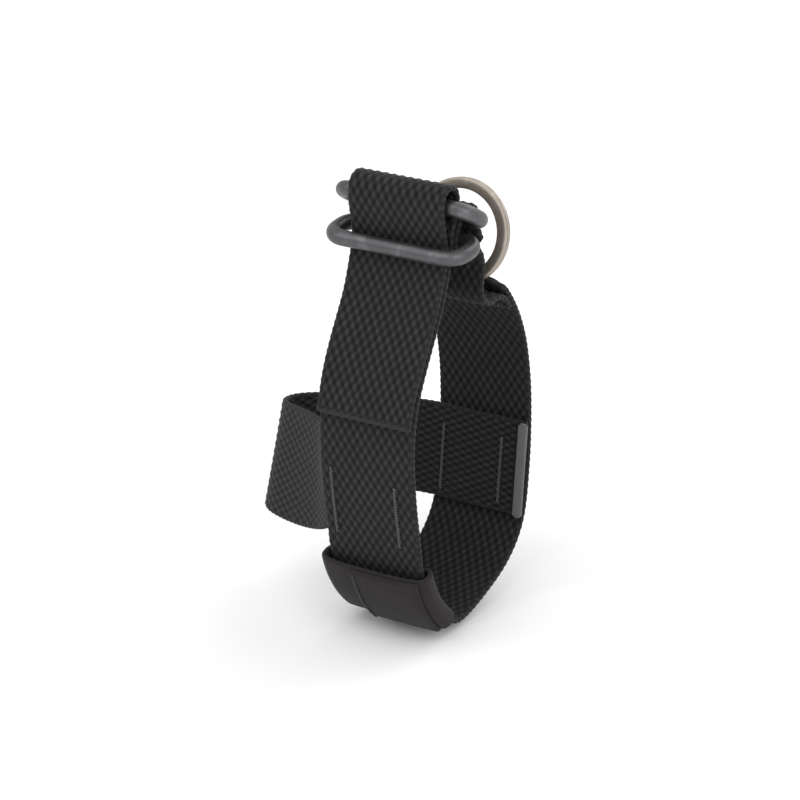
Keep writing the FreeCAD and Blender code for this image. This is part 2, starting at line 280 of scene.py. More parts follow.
def yarn_group() -> bpy.types.NodeTree:
    """The yarn effect: streaks of filament, uneven dye, lint and painted shade in the weave's pits, from the
    cloth's own coordinates.

    Returns:
        A group that turns the weave attribute into a colour, a roughness and a fibre height.
    """
    inputs = [("Across Streaks", "Float", 9.0), ("Along Streaks", "Float", 1.6),
              ("Dark", "Color", (0, 0, 0, 1)),
              ("Light", "Color", (1, 1, 1, 1)), ("Contrast", "Float", 1.0), ("Lint", "Float", 0.1)]
    group, nodes, take, give = new_group("yarn", inputs, [("Color", "Color"), ("Roughness", "Float"),
                                                          ("Fibre", "Float")])
    place = nodes.add("Attribute", {"attribute_name": "weave"})
    parts = nodes.add("SeparateXYZ", Vector=place.outputs["Vector"])
    across = nodes.maths("MULTIPLY", parts.outputs[0], take.outputs["Across Streaks"])
    along = nodes.maths("MULTIPLY", parts.outputs[1], take.outputs["Along Streaks"])
    stretched = nodes.add("CombineXYZ", X=across, Y=along)
    fibre = nodes.add("TexNoise", Vector=stretched.outputs[0], Scale=1.0, Detail=3.0, Roughness=0.6)
    flat = nodes.add("CombineXYZ", X=parts.outputs[0], Y=parts.outputs[1])
    blotch = nodes.add("TexNoise", Vector=flat.outputs[0], Scale=0.16, Detail=2.0, Roughness=0.5)
    speck = nodes.add("TexNoise", Vector=flat.outputs[0], Scale=2.3, Detail=2.0, Roughness=0.7)
    # Painted shade: the colour darkens towards Dark where the weave's relief is low, in pits and grooves, and
    # lightens on the crests.
    crest = nodes.maths("POWER", parts.outputs[2], take.outputs["Contrast"])
    varied = nodes.maths("MULTIPLY", crest, nodes.maths("MULTIPLY_ADD", fibre.outputs[0], 0.9, 0.55))
    shade = nodes.maths("MULTIPLY", varied, nodes.maths("MULTIPLY_ADD", blotch.outputs[0], 0.6, 0.7))
    cloth = nodes.mixed(nodes.maths("MINIMUM", shade, 1.0), take.outputs["Dark"], take.outputs["Light"])
    dust = nodes.maths("MULTIPLY", nodes.maths("GREATER_THAN", speck.outputs[0], 0.71), take.outputs["Lint"])
    colour = nodes.mixed(dust, cloth, (0.16, 0.155, 0.15, 1))
    nodes.put(give, "Color", colour)
    nodes.put(give, "Roughness", nodes.maths("MULTIPLY_ADD", fibre.outputs[0], 0.3, 0.58))
    nodes.put(give, "Fibre", fibre.outputs[0])
    return group


def wear_group() -> bpy.types.NodeTree:
    """The wear effect on metal: fine scratches, cloudy plating and bright rubbed patches.

    Returns:
        A group that gives a colour, a roughness and a height from the surface's place.
    """
    inputs = [("Metal", "Color", (0.2, 0.2, 0.2, 1)), ("Rubbed", "Color", (0.5, 0.5, 0.5, 1)),
              ("Amount", "Float", 0.3), ("Roughness", "Float", 0.35)]
    group, nodes, take, give = new_group("wear", inputs, [("Color", "Color"), ("Roughness", "Float"),
                                                          ("Height", "Float")])
    place = nodes.add("TexCoord")
    cloud = nodes.add("TexNoise", Vector=place.outputs["Object"], Scale=260.0, Detail=4.0, Roughness=0.6)
    fine = nodes.add("TexNoise", Vector=place.outputs["Object"], Scale=2600.0, Detail=2.0, Roughness=0.7)
    squeezed = nodes.add("Mapping", Vector=place.outputs["Object"], Scale=(180.0, 3200.0, 3200.0))
    scratch = nodes.add("TexNoise", Vector=squeezed.outputs[0], Scale=1.0, Detail=2.0)
    rubbed = nodes.add("MapRange", Value=cloud.outputs[0])
    for key, value in (("From Min", 0.52), ("From Max", 0.72), ("To Min", 0.0), ("To Max", 1.0)):
        rubbed.inputs[key].default_value = value
    share = nodes.maths("MULTIPLY", rubbed.outputs[0], take.outputs["Amount"])
    nodes.put(give, "Color", nodes.mixed(share, take.outputs["Metal"], take.outputs["Rubbed"]))
    uneven = nodes.maths("MULTIPLY_ADD", scratch.outputs[0], 0.16, -0.08)
    nodes.put(give, "Roughness", nodes.maths("ADD", take.outputs["Roughness"], uneven))
    nodes.put(give, "Height", nodes.maths("ADD", fine.outputs[0], scratch.outputs[0]))
    return group


def new_material(name: str, group: bpy.types.NodeTree, values: dict[str, object], height: str,
                 strength: float, distance_mm: float) -> tuple[Material, bpy.types.Node]:
    """Build a material around a shared effect, with a bump from one of its outputs.

    Args:
        name: the material's name.
        group: the effect's node group.
        values: the effect's settings.
        height: the output that raises the bump.
        strength: the bump's strength.
        distance_mm: the bump's height.

    Returns:
        The material and its shader.
    """
    material = bpy.data.materials.new(name)
    material.use_nodes = True
    nodes = Nodes(material.node_tree)
    shader = material.node_tree.nodes["Principled BSDF"]
    effect = nodes.add("Group", {"node_tree": group})
    for key, value in values.items():
        effect.inputs[key].default_value = value
    bump = nodes.add("Bump", Strength=strength, Distance=distance_mm * MM, Height=effect.outputs[height])
    nodes.put(shader, "Base Color", effect.outputs["Color"])
    nodes.put(shader, "Roughness", effect.outputs["Roughness"])
    nodes.put(shader, "Normal", bump.outputs[0])
    return material, shader


@dataclass(frozen=True)
class ClothFinish:
    """A finish for woven or sewn pieces."""

    name: str
    # dark is the colour in the low places of the relief (pits, grooves) and light the colour on the high places;
    # the step between them is painted shade.
    dark: tuple[float, float, float]
    light: tuple[float, float, float]
    across: float = 9.0
    along: float = 1.6
    # The power on the relief, which deepens the painted shade in the low places.
    pit_shade_power: float = 1.0
    lint: float = 0.1
    bump_mm: float = 0.05
    sheen: float = 0.25

    def make(self, yarn: bpy.types.NodeTree) -> Material:
        """Build the material around the yarn effect.

        Args:
            yarn: the yarn node group.

        Returns:
            The new material.
        """
        values = {"Across Streaks": self.across, "Along Streaks": self.along, "Dark": (*self.dark, 1),
                  "Light": (*self.light, 1), "Contrast": self.pit_shade_power, "Lint": self.lint}
        material, shader = new_material(self.name, yarn, values, "Fibre", 0.7, self.bump_mm)
        shader.inputs["Specular IOR Level"].default_value = 0.15
        shader.inputs["Sheen Weight"].default_value = self.sheen
        shader.inputs["Sheen Roughness"].default_value = 0.5
        return material


@dataclass(frozen=True)
class MetalFinish:
    """A finish for wire."""

    name: str
    metal: tuple[float, float, float]
    rubbed: tuple[float, float, float]
    roughness: float
    metallic: float = 0.85
    amount: float = 0.4

    def make(self, wear: bpy.types.NodeTree) -> Material:
        """Build the material around the wear effect.

        Args:
            wear: the wear node group.

        Returns:
            The new material.
        """
        values = {"Metal": (*self.metal, 1), "Rubbed": (*self.rubbed, 1), "Amount": self.amount,
                  "Roughness": self.roughness}
        material, shader = new_material(self.name, wear, values, "Height", 0.12, 0.02)
        shader.inputs["Metallic"].default_value = self.metallic
        return material


class Finish(Enum):
    """Every finish on the strap."""

    # Each cloth finish's dark and light colours are mixed by the relief, so the step between them is painted
    # shade in the low places.
    WEBBING = ClothFinish("webbing", (0.0035, 0.0035, 0.004), (0.036, 0.036, 0.037), pit_shade_power=1.2, sheen=0.05)
    SEALED = ClothFinish("sealed_edge", (0.006, 0.006, 0.006), (0.03, 0.03, 0.03), lint=0.0, sheen=0.03)
    BINDING = ClothFinish("binding", (0.05, 0.05, 0.05), (0.14, 0.14, 0.14), across=3.0, along=9.0, lint=0.0)
    ELASTIC = ClothFinish("elastic", (0.007, 0.0055, 0.0055), (0.021, 0.018, 0.018), across=14.0, along=2.0,
                          lint=0.04, bump_mm=0.03, sheen=0.05)
    THREAD = ClothFinish("thread", (0.012, 0.012, 0.0125), (0.075, 0.075, 0.077), across=30.0, along=30.0,
                         lint=0.0)
    DARK_THREAD = ClothFinish("dark_thread", (0.004, 0.004, 0.004), (0.02, 0.02, 0.02), across=30.0,
                              along=30.0, lint=0.0)
    BUCKLE = MetalFinish("buckle_wire", (0.10, 0.10, 0.105), (0.25, 0.25, 0.26), 0.42)
    SPLIT = MetalFinish("split_ring_wire", (0.36, 0.315, 0.27), (0.62, 0.575, 0.525), 0.42, amount=0.6)

    @property
    def material(self) -> Material:
        """The finish's material, built when it is first asked for."""
        made = bpy.data.materials.get(self.value.name)
        if made and made.get("finish"):
            return made
        key = "yarn" if isinstance(self.value, ClothFinish) else "wear"
        group = bpy.data.node_groups.get(key) or (yarn_group() if key == "yarn" else wear_group())
        made = self.value.make(group)
        made.name = self.value.name
        made["finish"] = True
        return made


# ---------------------------------------------------------------- woven pieces

@dataclass
class Webbing:
    """A length of woven webbing: yarn columns that float over and dive under the weft."""

    column: float = 1.05
    weft: float = 1.63
    relief: float = 0.26
    roundness: float = 1.4
    selvage: float = 1.3
    edge_round: float = 0.6
    pinch: float = 0.005
    across_cells: int = 4
    along_cells: int = 5

    def relief_at(self, across: Array, along: Array, half: float, side: int) -> Array:
        """The yarns' relief over one face.

        Args:
            across: distances from the middle of the webbing, one for each column of points.
            along: distances along the webbing, one for each row of points.
            half: half of the webbing's width.
            side: 1 on the face and -1 on the back, which shows the other yarns.

        Returns:
            Relief from 0 in a pit to 1 on a crest, with a row for each place along.
        """
        turn = along[:, None] / self.weft + (0 if side > 0 else 1)
        lattice = np.cos(np.pi * across[None, :] / self.column) * np.cos(np.pi * turn)
        height = (0.5 + 0.5 * lattice) ** self.roundness
        edge = np.clip((half - np.abs(across)) / self.selvage, 0, 1)[None, :]
        selvage = 0.5 + 0.22 * np.cos(2 * np.pi * along[:, None] / self.weft)
        share = edge * edge * (3 - 2 * edge)
        return height * share + selvage * (1 - share)

    def offsets(self, half: float) -> Array:
        """Places across the webbing for the points of one face."""
        count = int(round(2 * half / self.column * self.across_cells))
        return np.linspace(-half, half, count + 1)

    def ribbon(self, name: str, path: Array, side: Array, half: Array, thick: float,
               start: float = 0.0, crown: Array | None = None, wander: float = 0.0) -> Piece:
        """Weave a ribbon along a path.

        Args:
            name: the object's name.
            path: the middle line, with points a fifth of a weft apart, in millimetres.
            side: the direction across the webbing at each point.
            half: half of the width at each point.
            thick: the webbing's thickness.
            start: the weave's phase at the first point.
            crown: how far the middle stands out at each point, for a webbing that is cupped.
            wander: how far the edges stray sideways.

        Returns:
            The new object.
        """
        full = float(np.max(half))
        flat = self.offsets(full)
        along = np.arange(len(path)) * self.weft / self.along_cells + start
        tangent = unit(np.gradient(path, axis=0))
        side = unit(np.broadcast_to(side, path.shape))
        out = unit(np.cross(tangent, side))
        stray = wander * (np.sin(along / 9.1) + 0.6 * np.sin(along / 3.7 + 1.3))
        width = half[:, None] / full * flat[None, :] + stray[:, None] * (flat[None, :] / full) ** 3
        width *= 1 + self.pinch * np.cos(2 * np.pi * along / self.weft)[:, None]
        rise = np.zeros_like(along) if crown is None else crown
        cup = rise[:, None] * (1 - (flat[None, :] / full) ** 2)
        past = np.clip((np.abs(flat) - full + 0.55) / self.edge_round, 0, 1)
        rounding = np.sqrt(np.clip(1 - past ** 2, 0.03, 1))
        rings, masks = [], []
        for sign in (1, -1):
            order = slice(None) if sign > 0 else slice(None, None, -1)
            relief = self.relief_at(flat, along, full, sign)
            level = (thick / 2 - self.relief) * rounding[None, :] + self.relief * relief * rounding[None, :]
            block = (path[:, None] + width[..., None] * side[:, None]
                     + (cup + sign * level)[..., None] * out[:, None])
            rings.append(block[:, order])
            # The relief goes into the weave attribute too, where it darkens the pits as painted shade.
            place = np.stack(np.broadcast_arrays(flat[None, :], along[:, None], relief), axis=-1)
            masks.append(place[:, order])
        points = np.concatenate(rings, axis=1)
        weave = np.concatenate(masks, axis=1)
        return mesh_object(name, points, loop_faces(*points.shape[:2]), Finish.WEBBING.material, weave)


X_ACROSS = np.array([1.0, 0.0, 0.0])


def upright(points: Array) -> Array:
    """Turn (y, z) points into 3-D points at x 0."""
    return np.column_stack([np.zeros(len(points)), points])


@dataclass
class MainStrap:
    """The long piece of webbing: sewn flap, fold over the rings, loop, and roll over the front bar."""

    thick: float = 1.5
    corner_centre: Pair = (8.0, -24.0)
    corner_radius: float = 29.3
    corner_angles: Pair = (238.0, 184.0)
    roll_angles: Pair = (0.0, 180.0)
    waist: float = 3.6
    waist_x: float = 3.0
    roll_centre: Pair = (-8.7, 51.2)
    roll_radius: float = 3.1
    neck_z: tuple[float, ...] = (24.0, 28.5, 34.5, 39.5)
    flap: tuple = (
        (16.9, 19.45), (15.2, 21.8), (11.9, 23.0), (7.4, 23.1), (5.1, 25.4), (4.8, 29.0), (5.2, 33.0),
        (3.9, 36.3), (1.2, 37.7), (-1.8, 38.0), (-4.7, 38.35))
    fold: tuple = (
        (-6.4, 40.7), (-5.9, 43.2), (-4.4, 45.9), (-2.4, 47.6), (0.0, 47.95), (2.1, 46.6), (2.75, 44.2),
        (3.5, 41.2), (5.3, 38.0), (7.6, 34.8), (10.0, 30.9), (11.8, 28.5))
    rear_leg: tuple = (
        (13.9, 25.7), (16.7, 22.4), (19.6, 18.4), (22.2, 13.6), (24.1, 8.6), (25.3, 3.6), (26.2, -2.0),
        (26.6, -9.0), (26.5, -18.0), (25.6, -27.0), (23.7, -35.2), (21.2, -39.3), (17.4, -42.8),
        (12.6, -45.5), (8.2, -47.2), (3.9, -48.6), (-0.6, -49.7), (-4.3, -50.0))
    front_low: tuple = ((-22.6, -18.0), (-23.6, -10.0), (-24.0, -3.0))
    front_high: tuple = (
        (-23.4, 4.0), (-21.5, 10.5), (-18.7, 16.2), (-15.3, 22.3), (-12.3, 28.0), (-10.0, 34.0),
        (-8.5, 39.5), (-8.2, 42.3), (-7.5, 45.3), (-6.1, 48.4))
    roll_down: tuple = ((-11.75, 48.3), (-11.1, 45.0), (-10.55, 42.2),
                                                     (-10.2, 39.3))

    def arc(self, centre: Pair, radius: float, start: float, end: float) -> tuple:
        """Nine (y, z) points of an arc between two angles in degrees."""
        return tuple((centre[0] + radius * math.cos(a), centre[1] + radius * math.sin(a))
                     for a in np.radians(np.linspace(start, end, 9)))

    def line(self) -> tuple:
        """The webbing's whole middle line, as (y, z) points."""
        roll = self.arc(self.roll_centre, self.roll_radius, *self.roll_angles)
        return (self.flap + self.fold + self.rear_leg + self.corner() + self.front_low + self.front_high
                + roll + self.roll_down)

    def corner(self) -> tuple:
        """The front corner of the loop, from the bottom up."""
        return self.arc(self.corner_centre, self.corner_radius, *self.corner_angles)

    def front_leg(self) -> tuple:
        """The lower front leg, from the top of the corner up."""
        return self.corner()[-2:] + self.front_low

    def rear_low(self) -> Array:
        """The lower rear leg's (y, z) points, from the bottom up."""
        return np.array(self.rear_leg[:11][::-1])

    def split_row(self, path: Array) -> int:
        """The row under the middle of the keeper, where the webbing's two meshes meet."""
        angle = math.radians(213)
        target = np.array([self.corner_centre[0] + self.corner_radius * math.cos(angle),
                           self.corner_centre[1] + self.corner_radius * math.sin(angle)])
        return int(np.argmin(np.linalg.norm(path - target, axis=1)))

    def widths(self, path: Array) -> tuple[Array, Array]:
        """Half widths and sideways shifts, which narrow where the webbing passes through the split ring."""
        rows = np.arange(len(path))
        in_neck = (rows > np.argmax(path[:len(path) // 3, 1])) & (rows < len(path) // 2)
        stops = list(zip(self.neck_z, (HALF_WEB, self.waist, self.waist, HALF_WEB)))
        half = np.where(in_neck, eased(stops, path[:, 1]), HALF_WEB)
        return half, (HALF_WEB - half) / (HALF_WEB - self.waist) * self.waist_x

    def build(self, webbing: Webbing) -> list[Piece]:
        """Weave the webbing in three meshes that meet at the top of the fold and under the keeper.

        Args:
            webbing: the weave.

        Returns:
            The three objects.
        """
        step = webbing.weft / webbing.along_cells
        path = smooth_line(self.line(), step)
        half, shift = self.widths(path)
        middle = upright(path) + shift[:, None] * X_ACROSS
        top, cut = int(np.argmax(path[:len(path) // 3, 1])), self.split_row(path)
        made = []
        for name, rows in (("main_strap_flap", slice(0, top + 1)), ("main_strap_rear", slice(top, cut + 1)),
                           ("main_strap_front", slice(cut, None))):
            piece = webbing.ribbon(name, middle[rows], X_ACROSS, half[rows], self.thick,
                                   start=step * (rows.start or 0))
            made.append(piece)
        return made


@dataclass
class Tail:
    """The free end of the webbing outside the front leg, with its heat-sealed cut."""

    thick: float = 1.5
    lift: float = 1.8
    top: Pair = (-10.2, 39.2)
    end_z: float = 4.2
    bead: Pair = (1.3, 1.2)

    def path(self, leg: tuple, step: float) -> Array:
        """The tail's middle line: the front leg's, moved outwards, from behind the bar to the cut.

        Args:
            leg: the front leg's (y, z) points, from low to high.
            step: the distance between samples.

        Returns:
            The (y, z) samples.
        """
        leg_line = smooth_line(leg[::-1], step)
        along = unit(np.gradient(leg_line, axis=0))
        moved = leg_line + self.lift * np.stack([along[:, 1], -along[:, 0]], axis=1)
        inside = moved[(moved[:, 1] < self.top[1] - 1.5) & (moved[:, 1] > self.end_z)]
        return smooth_line([self.top, *map(tuple, inside[::8]), tuple(inside[-1])], step)

    def build(self, webbing: Webbing, leg: tuple) -> list[Piece]:
        """Weave the tail and melt its tip.

        Args:
            webbing: the weave.
            leg: the front leg's (y, z) points.

        Returns:
            The tail and its tip.
        """
        path = self.path(leg, webbing.weft / webbing.along_cells)
        half = np.full(len(path), HALF_WEB)
        crown = 0.25 * np.sin(np.linspace(0, np.pi, len(path)))
        tail = webbing.ribbon("tail_webbing", upright(path), -X_ACROSS, half, self.thick, start=0.7,
                              crown=crown, wander=0.12)
        return [tail, self.sealed(path)]

    def sealed(self, path: Array) -> Piece:
        """The melted edge: a thin lumpy bead across the end."""
        end, back = path[-1], path[-6]
        down = unit(end - back)
        xs = np.arange(-HALF_WEB, HALF_WEB + 0.01, 0.25)
        lumps = 0.09 * np.sin(xs * 3.1) + 0.07 * np.sin(xs * 7.7 + 1.0)
        line = np.column_stack([xs, np.full(len(xs), end[0] + down[0] * 0.3) + 0.4 * lumps,
                                np.full(len(xs), end[1] + down[1] * 0.3) + lumps])
        ends = np.clip((HALF_WEB - np.abs(xs)) / 0.5, 0.35, 1) ** 0.5
        out = np.array([0.0, -down[1], down[0]])
        return sweep("tail_sealed_tip", line, superellipse(*self.bead, 2.8, 20), out, Finish.SEALED.material,
                     ends * (1 + lumps))


@dataclass
class CrossBand:
    """The second piece of webbing, which makes a loop to the side."""

    thick: float = 1.5
    gap: float = 0.3
    end_x: float = 8.8
    rear_z: Pair = (-34.0, -11.4)
    front_z: Pair = (-26.0, -3.6)
    side_low: tuple = (
        (-20.0, 20.8, -34.0), (-31.0, 15.8, -34.3), (-40.2, 9.6, -34.8), (-44.2, 3.8, -35.2),
        (-43.0, -1.2, -35.4), (-36.5, -5.6, -35.2), (-27.0, -9.8, -33.8), (-20.0, -13.6, -31.4),
        (-15.6, -16.8, -28.8))
    side_high: tuple = (
        (-19.0, 23.4, -11.4), (-29.0, 18.4, -11.0), (-37.5, 13.3, -10.6), (-41.2, 8.4, -10.2),
        (-40.3, 3.2, -9.4), (-34.0, -1.8, -8.0), (-25.5, -7.2, -6.4), (-19.3, -12.3, -5.2),
        (-15.6, -17.6, -4.2))

    def edge(self, rear: Pair, front: Pair, side: tuple, step: float) -> Array:
        """One long edge: flat on the rear leg, round the side, flat on the front leg.

        Args:
            rear: the (y, z) where the edge lies on the rear leg.
            front: the (y, z) where it lies on the front leg.
            side: the points of the free stretch.
            step: the distance between samples.

        Returns:
            The edge's 3-D samples.
        """
        on_rear = [(x, *rear) for x in (HALF_WEB, 4.0, -4.0, -11.5)]
        on_front = [(x, *front) for x in (-10.5, -4.0, 3.0, self.end_x)]
        return smooth_line([*on_rear, *side, *on_front], step)

    def rear_chord(self, strap: "MainStrap") -> Array:
        """The (y, z) ends of the band's flat middle line on the rear leg."""
        leg = strap.rear_low()
        return np.array([(float(np.interp(z, leg[:, 1], leg[:, 0])) - self.thick - self.gap, z)
                         for z in self.rear_z])

    def edges(self, strap: "MainStrap", step: float) -> tuple[Array, Array]:
        """Both long edges, with as many samples in each."""
        front_leg = np.array(strap.front_leg())
        sides = []
        for rear, z, side in zip(self.rear_chord(strap), self.front_z, (self.side_low, self.side_high)):
            front = float(np.interp(z, front_leg[:, 1], front_leg[:, 0])) + self.thick + self.gap
            sides.append(self.edge(tuple(rear), (front, z), side, step))
        count = min(len(sides[0]), len(sides[1]))
        return tuple(side[np.linspace(0, len(side) - 1, count).round().astype(int)] for side in sides)

    def build(self, webbing: Webbing, strap: "MainStrap") -> Piece:
        """Weave the band between its two edges."""
        low, high = self.edges(strap, webbing.weft / webbing.along_cells)
        kernel = np.ones(9) / 9
        width = np.linalg.norm(high - low, axis=1)
        half = np.convolve(np.pad(width / 2, 4, mode="edge"), kernel, mode="valid")
        across = unit(high - low)
        return webbing.ribbon("cross_band_webbing", (low + high) / 2, across, half, self.thick, start=0.4)


# ---------------------------------------------------------------- sewing

def thread_along(name: str, line: Array, across: Array, out: Array, width: float, pitch: float,
                 radius: float, finish: Finish) -> Piece:
    """Sew a row of zigzag or straight stitches.

    Args:
        name: the object's name.
        line: the row's middle line on the cloth, in millimetres.
        across: the direction across the row.
        out: the direction away from the cloth.
        width: the zigzag's width, or 0 for straight stitches.
        pitch: the length of one stitch, there and back.
        radius: the thread's radius.
        finish: the thread's finish.

    Returns:
        The thread.
    """
    total = np.linalg.norm(np.diff(line, axis=0), axis=1).sum()
    fine = smooth_line([tuple(p) for p in line], pitch / 14)
    s = np.linspace(0, total, len(fine))
    swing = np.sin(2 * np.pi * s / pitch)
    jitter = 0.05 * np.sin(s * 5.3) + 0.04 * np.sin(s * 13.1 + 0.5)
    if width > 0:
        rise = radius * (0.9 - 1.5 * np.abs(swing) ** 6)
    else:
        rise = radius * (0.9 - 3.2 * np.clip(-np.cos(2 * np.pi * s / pitch) - 0.55, 0, 1))
    path = fine + (swing * width / 2 + jitter)[:, None] * across + rise[:, None] * out
    along = unit(np.gradient(path, axis=0))
    side = unit(np.cross(along, out))
    lift = unit(np.cross(side, along))
    a = np.linspace(0, 2 * np.pi, 10, endpoint=False)[None, :] + 0 * s[:, None]
    ply = radius * (1 + 0.14 * np.cos(2 * (a - (2 * np.pi * s / (7 * radius))[:, None])))
    points = (path[:, None] + (ply * np.cos(a))[..., None] * side[:, None]
              + (ply * np.sin(a))[..., None] * lift[:, None])
    # Painted shade: the colour darkens where the twisted ply sinks.
    weave = np.stack([a * radius, np.broadcast_to(s[:, None], a.shape), ply / ply.max()], axis=-1)
    return mesh_object(name, points, loop_faces(*points.shape[:2]), finish.material, weave)


@dataclass
class Sewing:
    """The bar tacks and seams that hold the cross band and the flap."""

    thread: float = 0.14
    tack_width: float = 0.5
    tack_pitch: float = 0.7
    front_rows: Pair = (-9.3, 7.2)
    rear_rows: Pair = (-9.4, 6.3)
    front_low: float = -26.2
    front_high: Pair = (-9.3, -11.0)
    rear_share: Pair = (0.1, 0.8)
    clear: float = 0.02

    def front(self, strap: MainStrap) -> list[Piece]:
        """The two rows on the outside of the front leg."""
        leg = smooth_line(strap.front_leg(), 0.5)
        along = np.gradient(leg, axis=0)
        out = unit(np.column_stack([np.zeros(len(leg)), -along[:, 1], along[:, 0]]))
        made = []
        lift = strap.thick / 2 + self.clear
        for name, x, high in zip(("front_tack_left", "front_tack_right"), self.front_rows, self.front_high):
            rows = (leg[:, 1] > self.front_low) & (leg[:, 1] < high)
            line = np.column_stack([np.full(rows.sum(), x), leg[rows]]) + out[rows] * lift
            made.append(thread_along(name, line, X_ACROSS, out[rows].mean(axis=0), self.tack_width,
                                     self.tack_pitch, self.thread, Finish.THREAD))
        return made

    def rear(self, strap: MainStrap, band: CrossBand) -> list[Piece]:
        """The two rows on the inside of the rear leg, over the cross band."""
        ends = band.rear_chord(strap)
        out = np.array([0.0, -1.0, 0.0])
        made = []
        for name, x in (("rear_tack_left", self.rear_rows[0]), ("rear_tack_right", self.rear_rows[1])):
            shares = np.linspace(*self.rear_share, 24)[:, None]
            flat = ends[0] + (ends[1] - ends[0]) * shares
            line = np.column_stack([np.full(len(flat), x), flat]) + out * (band.thick / 2 + self.clear)
            made.append(thread_along(name, line, X_ACROSS, out, self.tack_width, self.tack_pitch, self.thread,
                                     Finish.THREAD))
        return made

    def flap(self, strap: MainStrap) -> Piece:
        """The zigzag seam across the flap, near its end."""
        start, end = np.array(strap.flap[0]), np.array(strap.flap[1])
        along = unit(end - start)
        out = np.array([0.0, -along[1], along[0]])
        at = (start + end) / 2
        xs = np.linspace(-11.2, 11.2, 30)
        line = np.column_stack([xs, np.full(30, at[0]), np.full(30, at[1])]) + out * (strap.thick / 2 + 0.05)
        return thread_along("flap_zigzag_seam", line, np.array([0.0, *along]), out, 1.7, 1.5, self.thread * 1.4,
                            Finish.DARK_THREAD)


@dataclass
class Hem:
    """The smooth hem over the cut end of the band on the rear leg."""

    x: Pair = (10.8, 13.2)
    thick: float = 0.9
    rib: float = 0.55

    def build(self, strap: MainStrap, band: CrossBand) -> Piece:
        """Lay the strip on the band, with fine ribs across it."""
        ends = band.rear_chord(strap)
        zs = np.arange(band.rear_z[0], band.rear_z[1] + 0.01, self.rib / 5)
        ys = np.interp(zs, ends[:, 1], ends[:, 0]) - (band.thick + self.thick) / 2 - 0.06
        line = np.column_stack([np.full(len(zs), sum(self.x) / 2), ys, zs])
        tips = np.clip(np.minimum(zs - zs[0], zs[-1] - zs) / 0.5, 0.3, 1) ** 0.5
        rib = 1 + 0.03 * np.cos(2 * np.pi * zs / self.rib)
        # Painted shade: the colour darkens in the grooves between the ribs.
        relief = 0.75 + 0.25 * np.cos(2 * np.pi * zs / self.rib)
        return sweep("edge_hem", line, superellipse(self.x[1] - self.x[0], self.thick, 3.0, 40),
                     np.array([0.0, -1.0, 0.0]), Finish.BINDING.material, tips * rib, relief)


# ---------------------------------------------------------------- keeper and rings

